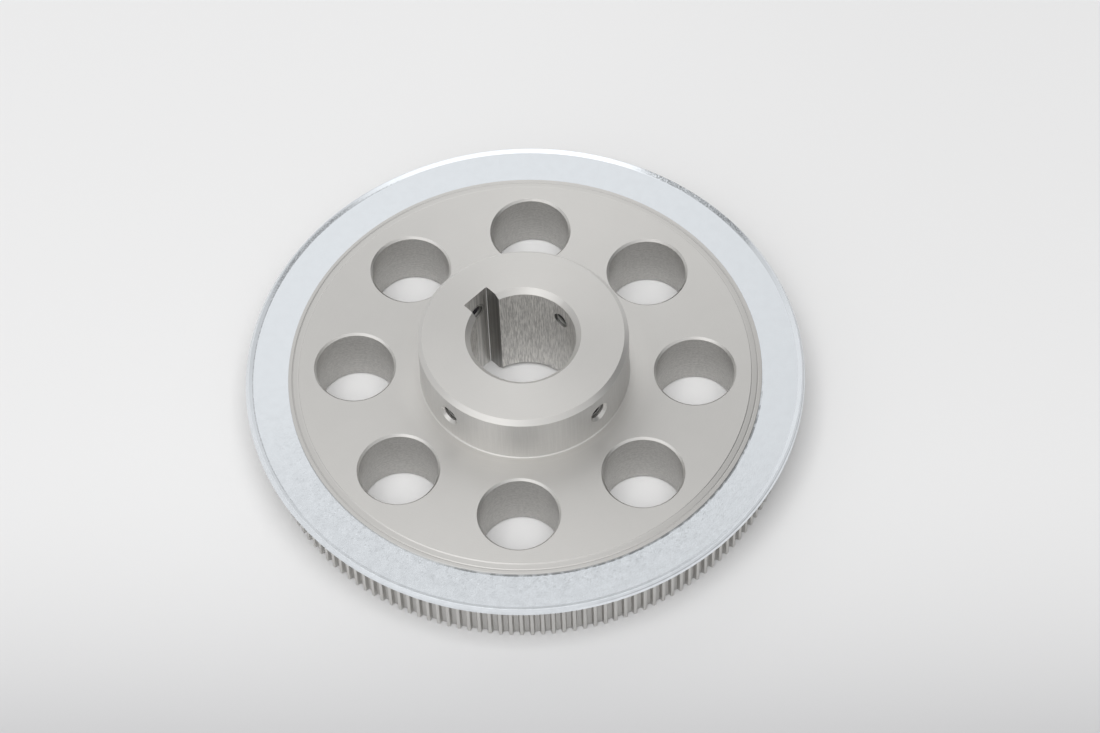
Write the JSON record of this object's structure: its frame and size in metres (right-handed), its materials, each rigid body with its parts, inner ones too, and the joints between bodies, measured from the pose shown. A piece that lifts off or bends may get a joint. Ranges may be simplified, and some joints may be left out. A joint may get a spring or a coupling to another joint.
{
  "type": "timing belt pulley",
  "caption": "Large timing belt pulley with fine rounded teeth, a flange on the hub side, a bored and keyed hub, radial set screws and round lightening holes in the disc.",
  "frame": {"origin": "on the bore's axis at the back face of the disc", "axes": "+Z along the bore towards the hub's nose, +Y towards the keyway"},
  "size_m": [0.107, 0.107, 0.025],
  "materials": {
    "aluminium": "satin machined",
    "zinc_plated_steel": "bright zinc plate",
    "black_oxide_steel": "black oxide"
  },
  "bodies": {
    "pulley": {"pulley_body": "aluminium", "flange": "zinc_plated_steel"},
    "screw_1": {"set_screw_1": "black_oxide_steel"},
    "screw_2": {"set_screw_2": "black_oxide_steel"},
    "screw_3": {"set_screw_3": "black_oxide_steel"},
    "key_screw": {"key_set_screw": "black_oxide_steel"}
  },
  "joints": [
    {"name": "set_screw_1_travel", "type": "slide", "parent": "pulley", "child": "screw_1", "axis": [1, 0, 0], "range_m": [-0.0008, 0.006]},
    {"name": "set_screw_2_travel", "type": "slide", "parent": "pulley", "child": "screw_2", "axis": [-1, 0, 0], "range_m": [-0.0008, 0.006]},
    {"name": "set_screw_3_travel", "type": "slide", "parent": "pulley", "child": "screw_3", "axis": [0, -1, 0], "range_m": [-0.0008, 0.006]},
    {"name": "key_set_screw_travel", "type": "slide", "parent": "pulley", "child": "key_screw", "axis": [0, 1, 0], "range_m": [-0.0009, 0.0034]}
  ]
}
